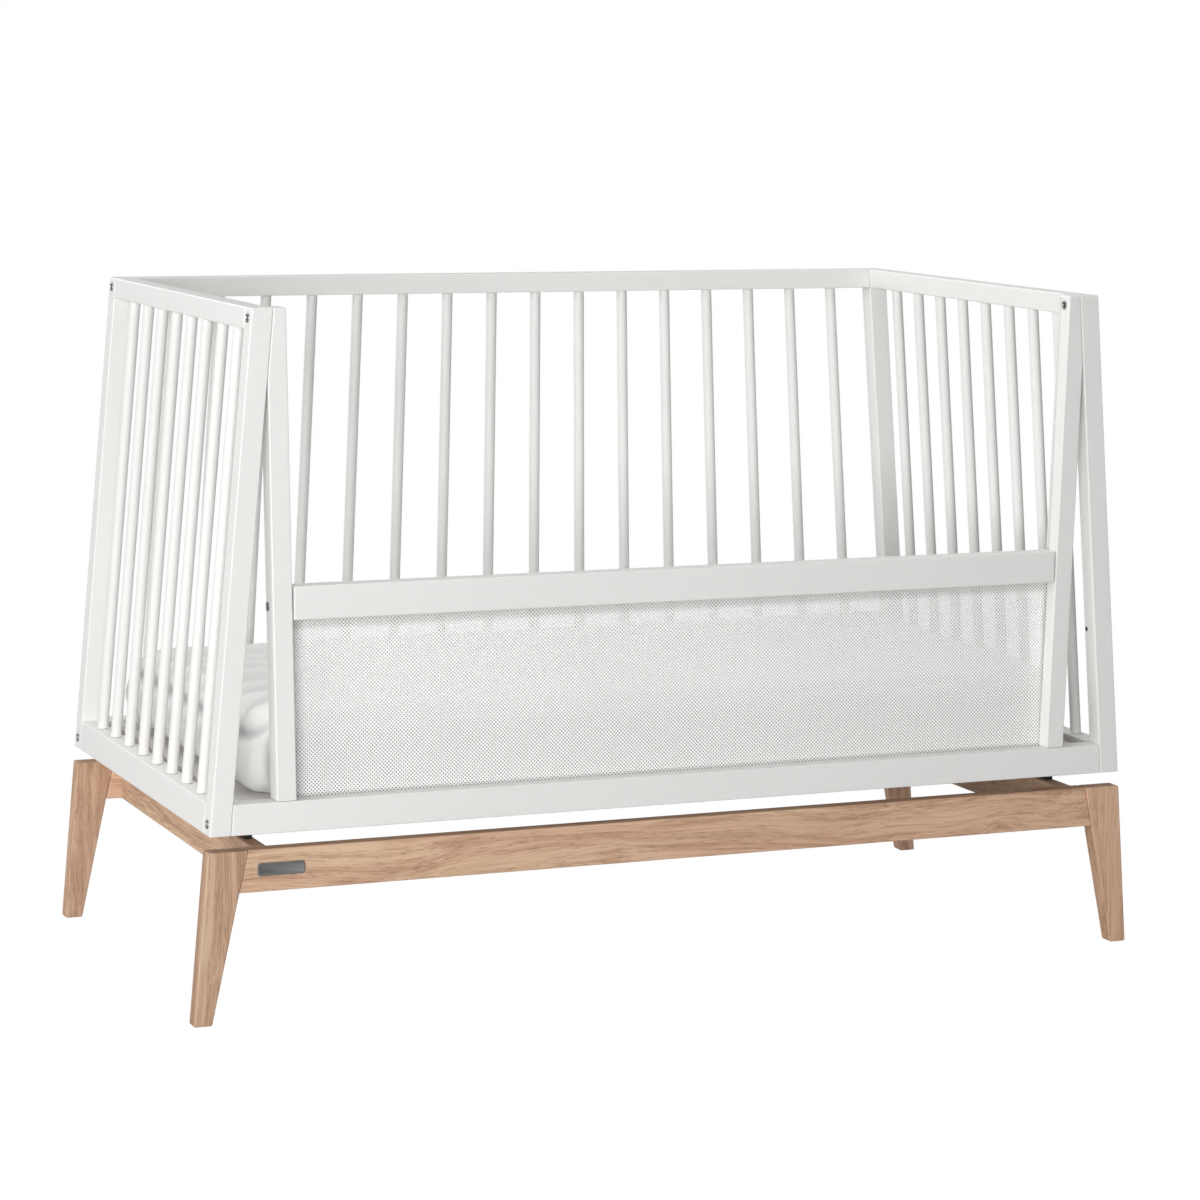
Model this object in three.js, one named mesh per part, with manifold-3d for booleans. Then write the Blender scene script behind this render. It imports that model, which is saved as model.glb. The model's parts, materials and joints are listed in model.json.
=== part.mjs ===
// Baby crib: a white spindle body with splayed ends on an oak stand, and a front side that slides.
// Millimetres. +X runs along the crib, +Y to the back and +Z up, from the floor under the centre.
import * as THREE from 'three';
import { mergeVertices } from 'three/addons/utils/BufferGeometryUtils.js';
import Module from 'manifold-3d';

const wasm = await Module();
wasm.setup();

// Driving dimensions of the whole crib
const height = 910;
const depth = 660;
const topHalfLength = 603.5;
const bodyBottom = 244;
const bodyBottomHalfLength = 660;
const touchGap = 0.3;

// White body
const postSize = 28;
const topRailHeight = 28;
const bottomRailHeight = 40;
const spindleDiameter = 15;
const backSpindles = 16;
const endSpindles = 8;
const spindleSides = 16;

// Front guides, and the rail and mesh that slide in them
const guideWidth = 26;
const guideDepth = 30;
const guideTopInnerX = 558.8;
const guideBottomInnerX = 544.5;
const grooveFront = -309;
const grooveBack = -303;
const grooveEndX = 563.5;
const grooveTop = 906;
const slideRailHalfLength = 548.5;
const slideRailBottom = 516;
const slideRailHeight = 43;
const slideRailDepth = 27;
const tongueEndX = 561.5;
const tongueInset = 5;
const tongueSideGap = 0.4;
const meshThickness = 1.6;
const meshEndX = 561;

// Bed base and mattress
const bedTop = 280;
const bedThickness = 15;
const bedHalfLength = 611;
const bedHalfWidth = 297;
const bedCornerRadius = 6;
const ventRows = 2;
const ventsPerRow = 9;
const ventLength = 124;
const ventWidth = 22;
const mattressLength = 1196;
const mattressWidth = 594;
const mattressThickness = 110;
const mattressCornerRadius = 48;
const mattressEdgeRound = 26;

// Oak stand
const standTop = 224;
const standRailHeight = 55;
const legThickness = 24;
const legTopInnerX = 609;
const legFootInnerX = 657;
const standRailRecess = 2;
const crossRailInnerX = 578;
const crossRailOuterX = 599;
const stripHalfLength = 264;
const stripInset = 5;
const badgeWidth = 63;
const badgeHeight = 17;
const badgeThickness = 1.3;
const badgeCentreX = -565;
const badgeCentreZ = 198;

// Softened edges of every wooden piece
const cornerRound = 2;
const edgeRound = 1.5;

const finishes = {
  paint: { color: 0xe9e5df, roughness: 0.42, metalness: 0 },
  oak: { color: 0xcda98a, roughness: 0.55, metalness: 0 },
  netting: { color: 0xf0f0ee, roughness: 0.85, metalness: 0 },
  bedBoard: { color: 0xdfdbd3, roughness: 0.6, metalness: 0 },
  sheet: { color: 0xf1f0ec, roughness: 0.9, metalness: 0 },
  rubber: { color: 0x1b1b1c, roughness: 0.7, metalness: 0 },
  steel: { color: 0x9b9a98, roughness: 0.35, metalness: 1 },
};

const halfDepth = depth / 2;
const spindleRadius = spindleDiameter / 2;
const splay = (bodyBottomHalfLength - topHalfLength) / (height - bodyBottom);
const postInside = halfDepth - postSize;
const spindleLine = halfDepth - postSize / 2;
const bottomRailTop = bodyBottom + bottomRailHeight;
const topRailBottom = height - topRailHeight;

// Half-length of the splayed ends' outer face, and of the clear space inside them, at a height.
const outerX = (z) => topHalfLength + (height - z) * splay;
const innerX = (z) => outerX(z) - postSize;

function mesh(name, geometry, finish) {
  const part = new THREE.Mesh(geometry, new THREE.MeshStandardMaterial(finishes[finish]));
  part.name = name;
  return part;
}

// Closed outline through the given corners, each corner eased by a short curve.
function easedOutline(corners, radius) {
  const shape = new THREE.Shape();
  corners.forEach((corner, index) => {
    const here = new THREE.Vector2(...corner);
    const before = new THREE.Vector2(...corners.at(index - 1));
    const after = new THREE.Vector2(...corners[(index + 1) % corners.length]);
    const start = before.sub(here).setLength(radius).add(here);
    const end = after.sub(here).setLength(radius).add(here);
    if (index === 0) {
      shape.moveTo(start.x, start.y);
    } else {
      shape.lineTo(start.x, start.y);
    }
    shape.quadraticCurveTo(here.x, here.y, end.x, end.y);
  });
  shape.closePath();
  return shape;
}

// Bar whose outline is drawn in the XZ plane and which runs in Y from front to back.
function barGeometry(corners, front, back) {
  const geometry = new THREE.ExtrudeGeometry(easedOutline(corners, cornerRound), {
    depth: back - front - 2 * edgeRound,
    curveSegments: 2,
    bevelThickness: edgeRound,
    bevelSize: edgeRound,
    bevelOffset: -edgeRound,
    bevelSegments: 2,
  });
  return geometry.rotateX(Math.PI / 2).translate(0, back - edgeRound, 0);
}

function bar(name, corners, front, back, finish) {
  return mesh(name, barGeometry(corners, front, back), finish);
}

// Board whose outline is drawn in the XY plane, with eased top and bottom edges.
function board(name, shape, bottom, thickness, ease, segments, finish) {
  const geometry = new THREE.ExtrudeGeometry(shape, {
    depth: thickness - 2 * ease,
    curveSegments: 4,
    bevelThickness: ease,
    bevelSize: ease,
    bevelOffset: -ease,
    bevelSegments: segments,
  });
  const part = mesh(name, geometry, finish);
  part.position.z = bottom + ease;
  return part;
}

function box(x, y, z) {
  const geometry = new THREE.BoxGeometry(x[1] - x[0], y[1] - y[0], z[1] - z[0]);
  return geometry.translate((x[0] + x[1]) / 2, (y[0] + y[1]) / 2, (z[0] + z[1]) / 2);
}

// Rectangle around the middle, used for boards.
function rectangle(halfLength, halfWidth) {
  return [
    [-halfLength, -halfWidth],
    [halfLength, -halfWidth],
    [halfLength, halfWidth],
    [-halfLength, halfWidth],
  ];
}

function toSolid(geometry) {
  const bare = new THREE.BufferGeometry();
  bare.setAttribute('position', geometry.getAttribute('position'));
  bare.setIndex(geometry.getIndex());
  const merged = mergeVertices(bare, 1e-4);
  return new wasm.Manifold(new wasm.Mesh({
    numProp: 3,
    vertProperties: merged.getAttribute('position').array,
    triVerts: new Uint32Array(merged.getIndex().array),
  }));
}

function toGeometry(solid) {
  const result = solid.getMesh();
  const geometry = new THREE.BufferGeometry();
  geometry.setAttribute('position', new THREE.BufferAttribute(result.vertProperties, 3));
  geometry.setIndex(new THREE.BufferAttribute(result.triVerts, 1));
  geometry.computeVertexNormals();
  return geometry;
}

// Round upright between the rails, sheared so that its flat ends stay level.
function spindle(name, lowX, highX, y) {
  const low = bottomRailTop + touchGap;
  const high = topRailBottom - touchGap;
  const lean = new THREE.Matrix4().makeShear(0, 0, 0, 0, (highX - lowX) / (high - low), 0);
  const geometry = new THREE.CylinderGeometry(spindleRadius, spindleRadius, high - low, spindleSides);
  const part = mesh(name, geometry.rotateX(Math.PI / 2).applyMatrix4(lean), 'paint');
  part.position.set((lowX + highX) / 2, y, (low + high) / 2);
  return part;
}

// Places that leave equal clear gaps between the spindles and the posts at both ends.
function spindlePlaces(count, clearLength) {
  const pitch = (clearLength - count * spindleDiameter) / (count + 1) + spindleDiameter;
  return Array.from({ length: count }, (_, index) => (index - (count - 1) / 2) * pitch);
}

// Outline of a piece of an end frame between two heights; it leans with the splay.
function splayedOutline(sign, low, high) {
  return [
    [sign * innerX(low), low],
    [sign * outerX(low), low],
    [sign * outerX(high), high],
    [sign * innerX(high), high],
  ];
}

// Outline of a rail that fits between the two end frames.
function betweenEnds(low, high) {
  return [
    [-innerX(low) + touchGap, low],
    [innerX(low) - touchGap, low],
    [innerX(high) - touchGap, high],
    [-innerX(high) + touchGap, high],
  ];
}

function endFrame(side, sign) {
  const frame = new THREE.Group();
  const postOutline = splayedOutline(sign, bodyBottom, height);
  frame.add(bar(`${side}_front_post`, postOutline, -halfDepth, -postInside, 'paint'));
  frame.add(bar(`${side}_back_post`, postOutline, postInside, halfDepth, 'paint'));
  const railEnd = postInside - touchGap;
  const topOutline = splayedOutline(sign, topRailBottom, height);
  const bottomOutline = splayedOutline(sign, bodyBottom, bottomRailTop);
  frame.add(bar(`${side}_end_top_rail`, topOutline, -railEnd, railEnd, 'paint'));
  frame.add(bar(`${side}_end_bottom_rail`, bottomOutline, -railEnd, railEnd, 'paint'));
  const middleX = (z) => sign * (outerX(z) - postSize / 2);
  spindlePlaces(endSpindles, 2 * postInside).forEach((y, index) => {
    const name = `${side}_end_spindle_${index + 1}`;
    frame.add(spindle(name, middleX(bottomRailTop), middleX(topRailBottom), y));
  });
  return frame;
}

function backFrame() {
  const frame = new THREE.Group();
  frame.add(bar('back_top_rail', betweenEnds(topRailBottom, height), postInside, halfDepth, 'paint'));
  frame.add(bar('back_bottom_rail', betweenEnds(bodyBottom, bottomRailTop), postInside, halfDepth, 'paint'));
  const lowPlaces = spindlePlaces(backSpindles, 2 * innerX(bottomRailTop));
  const highPlaces = spindlePlaces(backSpindles, 2 * innerX(topRailBottom));
  lowPlaces.forEach((lowX, index) => {
    frame.add(spindle(`back_spindle_${index + 1}`, lowX, highPlaces[index], spindleLine));
  });
  return frame;
}

// Guide post: leans outwards to the top, where its outer side is cut to bear on the end post.
function guideOutline(sign) {
  const low = bottomRailTop + touchGap;
  const lean = (guideTopInnerX - guideBottomInnerX) / (height - bottomRailTop);
  const guideX = (z) => guideBottomInnerX + (z - bottomRailTop) * lean;
  const bearing = innerX(height) - touchGap - guideX(height) - guideWidth;
  const cutHeight = height + bearing / (splay + lean);
  return [
    [sign * guideX(low), low],
    [sign * (guideX(low) + guideWidth), low],
    [sign * (guideX(cutHeight) + guideWidth), cutHeight],
    [sign * (innerX(height) - touchGap), height],
    [sign * guideX(height), height],
  ];
}

function guide(side, sign) {
  const back = -halfDepth + guideDepth;
  const post = toSolid(barGeometry(guideOutline(sign), -halfDepth, back));
  const reach = [sign * grooveEndX, sign * (guideBottomInnerX - guideWidth)].sort((a, b) => a - b);
  const groove = toSolid(box(reach, [grooveFront, grooveBack], [bodyBottom, grooveTop]));
  return mesh(`${side}_guide_post`, toGeometry(post.subtract(groove)), 'paint');
}

function frontFrame() {
  const frame = new THREE.Group();
  const railOutline = betweenEnds(bodyBottom, bottomRailTop);
  frame.add(bar('front_bottom_rail', railOutline, -halfDepth, -postInside, 'paint'));
  frame.add(guide('left', -1));
  frame.add(guide('right', 1));
  return frame;
}

// Sliding rail with a tongue at each end that runs in the guides' grooves, and the mesh below it.
function dropSide() {
  const side = new THREE.Group();
  const railTop = slideRailBottom + slideRailHeight;
  const railOutline = rectangle(slideRailHalfLength, slideRailHeight / 2);
  const railMiddle = (slideRailBottom + railTop) / 2;
  const corners = railOutline.map(([x, z]) => [x, z + railMiddle]);
  const rail = toSolid(barGeometry(corners, -halfDepth, -halfDepth + slideRailDepth));
  const tongues = toSolid(box(
    [-tongueEndX, tongueEndX],
    [grooveFront + tongueSideGap, grooveBack - tongueSideGap],
    [slideRailBottom + tongueInset, railTop - tongueInset],
  ));
  side.add(mesh('sliding_rail', toGeometry(rail.add(tongues)), 'paint'));
  const meshMiddle = (grooveFront + grooveBack) / 2;
  const meshPanel = box(
    [-meshEndX, meshEndX],
    [meshMiddle - meshThickness / 2, meshMiddle + meshThickness / 2],
    [bottomRailTop + touchGap, slideRailBottom - touchGap],
  );
  side.add(mesh('side_mesh', meshPanel, 'netting'));
  return side;
}

function slot(centreX, centreY) {
  const straight = (ventLength - ventWidth) / 2;
  const path = new THREE.Path();
  path.absarc(centreX, centreY + straight, ventWidth / 2, 0, Math.PI, false);
  path.absarc(centreX, centreY - straight, ventWidth / 2, Math.PI, 2 * Math.PI, false);
  path.closePath();
  return path;
}

function bedBase() {
  const outline = easedOutline(rectangle(bedHalfLength, bedHalfWidth), bedCornerRadius);
  const pitchX = (2 * bedHalfLength) / (ventsPerRow + 1);
  const pitchY = (2 * bedHalfWidth) / ventRows;
  for (let row = 0; row < ventRows; row += 1) {
    for (let index = 0; index < ventsPerRow; index += 1) {
      const x = (index - (ventsPerRow - 1) / 2) * pitchX;
      outline.holes.push(slot(x, (row - (ventRows - 1) / 2) * pitchY));
    }
  }
  return board('bed_base', outline, bedTop - bedThickness, bedThickness, edgeRound, 1, 'bedBoard');
}

function mattress() {
  const outline = easedOutline(rectangle(mattressLength / 2, mattressWidth / 2), mattressCornerRadius);
  return board('mattress', outline, bedTop + touchGap, mattressThickness, mattressEdgeRound, 3, 'sheet');
}

// Leg: its outer edge carries on the splay of the ends, and it tapers to the foot.
function leg(name, sign, front, back) {
  const corners = [
    [sign * legFootInnerX, 0],
    [sign * outerX(0), 0],
    [sign * outerX(standTop), standTop],
    [sign * legTopInnerX, standTop],
  ];
  return bar(name, corners, front, back, 'oak');
}

function standRail(name, front, back) {
  const low = standTop - standRailHeight;
  const taper = (legFootInnerX - legTopInnerX) / standTop;
  const topX = legTopInnerX - touchGap;
  const lowX = topX + standRailHeight * taper;
  return bar(name, [[-lowX, low], [lowX, low], [topX, standTop], [-topX, standTop]], front, back, 'oak');
}

function crossRail(side, sign) {
  const end = halfDepth - legThickness - touchGap;
  const low = standTop - standRailHeight;
  const corners = [
    [sign * crossRailInnerX, low],
    [sign * crossRailOuterX, low],
    [sign * crossRailOuterX, standTop],
    [sign * crossRailInnerX, standTop],
  ];
  return bar(`${side}_cross_rail`, corners, -end, end, 'oak');
}

// Black strip on each cross rail, which carries the body above the stand.
function supportStrip(side, sign) {
  const low = standTop + touchGap;
  const high = bodyBottom - touchGap;
  const inner = crossRailInnerX + stripInset;
  const outer = crossRailOuterX - stripInset;
  const corners = [
    [sign * inner, low],
    [sign * outer, low],
    [sign * outer, high],
    [sign * inner, high],
  ];
  return bar(`${side}_support_strip`, corners, -stripHalfLength, stripHalfLength, 'rubber');
}

function badge() {
  const outline = easedOutline(rectangle(badgeWidth / 2, badgeHeight / 2), cornerRound);
  const geometry = new THREE.ExtrudeGeometry(outline, {
    depth: badgeThickness,
    curveSegments: 4,
    bevelEnabled: false,
  });
  const part = mesh('badge_plate', geometry, 'steel');
  part.rotation.x = Math.PI / 2;
  part.position.set(badgeCentreX, -halfDepth + standRailRecess - touchGap, badgeCentreZ);
  return part;
}

function stand() {
  const frame = new THREE.Group();
  const legInside = halfDepth - legThickness;
  [['left', -1], ['right', 1]].forEach(([side, sign]) => {
    frame.add(leg(`${side}_front_leg`, sign, -halfDepth, -legInside));
    frame.add(leg(`${side}_back_leg`, sign, legInside, halfDepth));
    frame.add(crossRail(side, sign));
    frame.add(supportStrip(side, sign));
  });
  frame.add(standRail('front_stand_rail', -halfDepth + standRailRecess, -legInside));
  frame.add(standRail('back_stand_rail', legInside, halfDepth - standRailRecess));
  frame.add(badge());
  return frame;
}

const crib = new THREE.Group();
crib.add(stand());
crib.add(endFrame('left', -1));
crib.add(endFrame('right', 1));
crib.add(backFrame());
crib.add(frontFrame());
crib.add(dropSide());
crib.add(bedBase());
crib.add(mattress());

export default crib;
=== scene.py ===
import json
import math

import bpy
import numpy as np
from mathutils import Matrix, Vector


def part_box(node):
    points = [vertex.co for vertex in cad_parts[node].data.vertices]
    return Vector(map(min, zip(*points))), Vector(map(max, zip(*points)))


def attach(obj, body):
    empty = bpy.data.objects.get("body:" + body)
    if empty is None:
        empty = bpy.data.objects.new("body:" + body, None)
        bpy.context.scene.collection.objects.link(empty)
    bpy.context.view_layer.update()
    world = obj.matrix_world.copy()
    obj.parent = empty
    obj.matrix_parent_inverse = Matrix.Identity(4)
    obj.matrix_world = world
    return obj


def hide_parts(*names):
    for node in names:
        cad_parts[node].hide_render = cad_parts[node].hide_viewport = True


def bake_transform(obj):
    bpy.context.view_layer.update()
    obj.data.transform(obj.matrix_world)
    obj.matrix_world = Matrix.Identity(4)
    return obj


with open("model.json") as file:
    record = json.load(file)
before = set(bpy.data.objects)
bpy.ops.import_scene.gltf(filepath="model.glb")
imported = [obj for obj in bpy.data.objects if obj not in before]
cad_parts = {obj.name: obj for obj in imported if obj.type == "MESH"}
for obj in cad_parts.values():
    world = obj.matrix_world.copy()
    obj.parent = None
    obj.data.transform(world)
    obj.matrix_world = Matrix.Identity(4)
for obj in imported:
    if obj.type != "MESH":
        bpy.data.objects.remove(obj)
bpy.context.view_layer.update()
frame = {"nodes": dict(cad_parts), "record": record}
print("frame loaded")


cameraSet = {
    "place": (-1.9656, -4.6556, 1.2167),
    "turn": 22.99,
    "tilt": 8.40,
    "roll": 0.73,
    "lens": 109.3,
    "sensor": 36.0,
    "reach": 60.0,
}


def makeCamera(cfg):
    data = bpy.data.cameras.new("camera")
    data.lens = cfg["lens"]
    data.sensor_width = cfg["sensor"]
    data.clip_end = cfg["reach"]
    camera = bpy.data.objects.new("camera", data)
    turn, tilt, roll = (math.radians(cfg[k]) for k in ("turn", "tilt", "roll"))
    camera.matrix_world = (
        Matrix.Translation(cfg["place"])
        @ Matrix.Rotation(-turn, 4, "Z")
        @ Matrix.Rotation(math.pi / 2 - tilt, 4, "X")
        @ Matrix.Rotation(roll, 4, "Z")
    )
    bpy.context.scene.collection.objects.link(camera)
    bpy.context.scene.camera = camera


studio = {
    "backdrop": (1.0, 1.0, 1.0),
    "ambient": 0.18,
    "floor": (0.50, 0.50, 0.495),
    "floorRoughness": 0.9,
    "floorHalf": 40.0,
    "lamps": [
        {"name": "low", "place": (-3.2, -5.0, 0.7), "aim": (-0.3, 0.0, 0.5),
         "size": 3.2, "power": 286.0},
        {"name": "side", "place": (-6.0, -1.6, 2.4), "aim": (-0.2, 0.0, 0.5),
         "size": 3.0, "power": 115.0},
        {"name": "top", "place": (0.2, 0.3, 4.5), "aim": (0.2, 0.0, 0.4),
         "size": 4.0, "power": 88.0},
        {"name": "rear", "place": (3.4, 4.2, 2.4), "aim": (0.0, 0.0, 0.5),
         "size": 3.0, "power": 12.0},
        {"name": "back", "place": (-2.5, 4.5, 2.6), "aim": (0.0, 0.0, 0.5),
         "size": 3.0, "power": 84.0},
    ],
}


def makeBackdrop(cfg):
    # plain backdrop for the camera, softer light for the crib
    world = bpy.data.worlds.new("studio")
    bpy.context.scene.world = world
    world.use_nodes = True
    tree = world.node_tree
    light = tree.nodes["Background"]
    light.inputs["Color"].default_value = (1, 1, 1, 1)
    light.inputs["Strength"].default_value = cfg["ambient"]
    seen = tree.nodes.new("ShaderNodeBackground")
    seen.inputs["Color"].default_value = (*cfg["backdrop"], 1)
    chooser = tree.nodes.new("ShaderNodeMixShader")
    tree.links.new(tree.nodes.new("ShaderNodeLightPath").outputs["Is Camera Ray"], chooser.inputs[0])
    tree.links.new(light.outputs[0], chooser.inputs[1])
    tree.links.new(seen.outputs[0], chooser.inputs[2])
    tree.links.new(chooser.outputs[0], tree.nodes["World Output"].inputs["Surface"])


def makeFloor(cfg):
    # white paper to the camera, matt grey paper to every other ray
    half = cfg["floorHalf"]
    data = bpy.data.meshes.new("floor")
    corners = [(-half, -half, 0), (half, -half, 0), (half, half, 0), (-half, half, 0)]
    data.from_pydata(corners, [], [(0, 1, 2, 3)])
    floor = bpy.data.objects.new("floor", data)
    bpy.context.scene.collection.objects.link(floor)
    paper = bpy.data.materials.new("floorPaper")
    paper.use_nodes = True
    tree = paper.node_tree
    shader = tree.nodes["Principled BSDF"]
    shader.inputs["Base Color"].default_value = (*cfg["floor"], 1)
    shader.inputs["Roughness"].default_value = cfg["floorRoughness"]
    shader.inputs["Specular IOR Level"].default_value = 0
    glow = tree.nodes.new("ShaderNodeEmission")
    glow.inputs["Color"].default_value = (*cfg["backdrop"], 1)
    chooser = tree.nodes.new("ShaderNodeMixShader")
    tree.links.new(tree.nodes.new("ShaderNodeLightPath").outputs["Is Camera Ray"], chooser.inputs[0])
    tree.links.new(shader.outputs[0], chooser.inputs[1])
    tree.links.new(glow.outputs[0], chooser.inputs[2])
    tree.links.new(chooser.outputs[0], tree.nodes["Material Output"].inputs["Surface"])
    data.materials.append(paper)


def makeLamp(lamp):
    # round soft box whose -Z axis looks at its aim
    light = bpy.data.lights.new(lamp["name"], "AREA")
    light.shape = "DISK"
    light.size = lamp["size"]
    light.energy = lamp["power"]
    holder = bpy.data.objects.new(lamp["name"], light)
    holder.visible_camera = False
    away = Vector(lamp["place"]) - Vector(lamp["aim"])
    turned = away.to_track_quat("Z", "Y").to_matrix().to_4x4()
    holder.matrix_world = Matrix.Translation(lamp["place"]) @ turned
    bpy.context.scene.collection.objects.link(holder)


makeCamera(cameraSet)
makeBackdrop(studio)
makeFloor(studio)
for lamp in studio["lamps"]:
    makeLamp(lamp)
bpy.context.scene.view_settings.view_transform = "Standard"
print("camera and studio ready")


def addNode(tree, kind, settings=None, inputs=None):
    node = tree.nodes.new(kind)
    for key, value in (settings or {}).items():
        setattr(node, key, value)
    for key, value in (inputs or {}).items():
        if isinstance(value, bpy.types.NodeSocket):
            tree.links.new(value, node.inputs[key])
        else:
            node.inputs[key].default_value = value
    return node


def mathNode(tree, operation, *values, clamp=False):
    node = addNode(tree, "ShaderNodeMath", {"operation": operation, "use_clamp": clamp},
                   dict(enumerate(values)))
    return node.outputs[0]


def mixColour(tree, blend, share, first, second):
    node = addNode(tree, "ShaderNodeMix", {"data_type": "RGBA", "blend_type": blend})
    for socket, value in ((node.inputs[0], share), (node.inputs[6], first), (node.inputs[7], second)):
        if isinstance(value, bpy.types.NodeSocket):
            tree.links.new(value, socket)
        else:
            socket.default_value = value
    return node.outputs[2]


def noise(tree, vector, scale, detail=2.0, roughness=0.5):
    return addNode(tree, "ShaderNodeTexNoise", None, {
        "Vector": vector, "Scale": scale, "Detail": detail, "Roughness": roughness,
    }).outputs["Fac"]


def stretch(tree, vector, scale):
    return addNode(tree, "ShaderNodeMapping", None, {"Vector": vector, "Scale": scale}).outputs[0]


def fade(tree, value, low, high, start=0.0, end=1.0):
    # smooth step from start to end as the value goes from low to high
    return addNode(tree, "ShaderNodeMapRange", {"interpolation_type": "SMOOTHSTEP"}, {
        "Value": value, "From Min": low, "From Max": high, "To Min": start, "To Max": end,
    }).outputs[0]


def newGroup(name, inputs, outputs):
    tree = bpy.data.node_groups.new(name, "ShaderNodeTree")
    for socketName, kind in inputs:
        tree.interface.new_socket(name=socketName, in_out="INPUT", socket_type=kind)
    for socketName, kind in outputs:
        tree.interface.new_socket(name=socketName, in_out="OUTPUT", socket_type=kind)
    return tree, tree.nodes.new("NodeGroupInput").outputs, tree.nodes.new("NodeGroupOutput").inputs


grainScales = {
    "wander": (1.1, 24.0, 24.0),
    "drift": (3.4, 10.0, 10.0),
    "driftReach": (0.0, 0.055, 0.055),
    "bands": (2.2, 70.0, 70.0),
    "bandShare": 0.46,
    "fibres": (7.0, 330.0, 330.0),
    "fibreShare": 0.54,
    "tone": (0.40, 0.62),
    "board": (0.42, 0.64),
    "pores": (55.0, 900.0, 900.0),
    "poreBase": 0.5,
    "poreLine": (0.58, 0.72),
    "roughness": (0.46, 0.12, 0.2),
    "fibreHeight": 0.5,
}


def makeGrainGroup(cfg):
    # oak with its grain along X of the vector: strips of two tones, growth bands bent by a slow drift,
    # fine fibres, short dark pores where the bands are dark
    tree, given, out = newGroup(
        "oakGrain",
        [
            ("Vector", "NodeSocketVector"),
            ("Light", "NodeSocketColor"),
            ("Dark", "NodeSocketColor"),
            ("Sap", "NodeSocketColor"),
            ("Pore", "NodeSocketColor"),
            ("Pore Share", "NodeSocketFloat"),
        ],
        [("Color", "NodeSocketColor"), ("Roughness", "NodeSocketFloat"), ("Height", "NodeSocketFloat")],
    )
    vector = given["Vector"]
    wander = noise(tree, stretch(tree, vector, cfg["wander"]), 1.0, 2.0)
    drift = addNode(tree, "ShaderNodeTexNoise", None, {
        "Vector": stretch(tree, vector, cfg["drift"]), "Scale": 1.0, "Detail": 1.0,
    }).outputs["Color"]
    bent = addNode(tree, "ShaderNodeVectorMath", {"operation": "MULTIPLY_ADD"}, {
        0: drift, 1: cfg["driftReach"], 2: vector,
    }).outputs[0]
    bands = noise(tree, stretch(tree, bent, cfg["bands"]), 1.0, 3.0, 0.6)
    fibres = noise(tree, stretch(tree, bent, cfg["fibres"]), 1.0, 3.0, 0.7)
    flecks = noise(tree, stretch(tree, bent, cfg["pores"]), 1.0, 1.0)
    fine = mathNode(tree, "MULTIPLY", fibres, cfg["fibreShare"])
    figure = mathNode(tree, "MULTIPLY_ADD", bands, cfg["bandShare"], fine)
    tone = fade(tree, figure, *cfg["tone"])
    poreLine = mathNode(tree, "MULTIPLY", flecks, mathNode(tree, "ADD", bands, cfg["poreBase"]))
    poreMask = mathNode(tree, "MULTIPLY", fade(tree, poreLine, *cfg["poreLine"]), given["Pore Share"])
    board = mixColour(tree, "MIX", fade(tree, wander, *cfg["board"]), given["Light"], given["Sap"])
    wood = mixColour(tree, "MIX", tone, board, given["Dark"])
    wood = mixColour(tree, "MIX", poreMask, wood, given["Pore"])
    tree.links.new(wood, out["Color"])
    smooth, darker, poreRough = cfg["roughness"]
    rough = mathNode(tree, "MULTIPLY_ADD", tone, darker, smooth)
    tree.links.new(mathNode(tree, "MULTIPLY_ADD", poreMask, poreRough, rough), out["Roughness"])
    raised = mathNode(tree, "MULTIPLY", fibres, cfg["fibreHeight"])
    tree.links.new(mathNode(tree, "SUBTRACT", raised, poreMask), out["Height"])
    return tree


paintScales = {
    "mottle": 5.0,
    "fibres": (7.0, 260.0, 260.0),
    "spray": 900.0,
    "shade": (0.8, 0.55, -0.3),
    "roughness": (0.34, 0.16, 0.10),
    "height": (0.7, 0.3),
}


def makePaintGroup(cfg):
    # satin paint with the wood's fibres along X of the vector: soft mottling, raised fibres, spray texture
    tree, given, out = newGroup(
        "paintFilm",
        [
            ("Vector", "NodeSocketVector"),
            ("Color", "NodeSocketColor"),
            ("Shade", "NodeSocketColor"),
        ],
        [("Color", "NodeSocketColor"), ("Roughness", "NodeSocketFloat"), ("Height", "NodeSocketFloat")],
    )
    vector = given["Vector"]
    mottle = noise(tree, vector, cfg["mottle"], 3.0)
    fibres = noise(tree, stretch(tree, vector, cfg["fibres"]), 1.0, 3.0, 0.6)
    spray = noise(tree, vector, cfg["spray"], 2.0)
    byMottle, byFibres, start = cfg["shade"]
    mottled = mathNode(tree, "MULTIPLY_ADD", mottle, byMottle, start)
    shade = mathNode(tree, "MULTIPLY_ADD", fibres, byFibres, mottled, clamp=True)
    tree.links.new(mixColour(tree, "MIX", shade, given["Color"], given["Shade"]), out["Color"])
    smooth, byMottle, byFibres = cfg["roughness"]
    rough = mathNode(tree, "MULTIPLY_ADD", fibres, byFibres, smooth)
    tree.links.new(mathNode(tree, "MULTIPLY_ADD", mottle, byMottle, rough), out["Roughness"])
    fibreHeight, sprayHeight = cfg["height"]
    sprayed = mathNode(tree, "MULTIPLY", spray, sprayHeight)
    tree.links.new(mathNode(tree, "MULTIPLY_ADD", fibres, fibreHeight, sprayed), out["Height"])
    return tree


grainGroup = makeGrainGroup(grainScales)
paintGroup = makePaintGroup(paintScales)
grainTurns = {"along": (0, 0, 0), "across": (0, 0, math.pi / 2), "upright": (0, math.pi / 2, 0)}


def newMaterial(name):
    material = bpy.data.materials.new(name)
    material.use_nodes = True
    return material, material.node_tree, material.node_tree.nodes["Principled BSDF"]


def bumpInto(tree, shader, height, strength, distance):
    bump = addNode(tree, "ShaderNodeBump", None, {
        "Height": height, "Strength": strength, "Distance": distance,
    })
    tree.links.new(bump.outputs[0], shader.inputs["Normal"])


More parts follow.
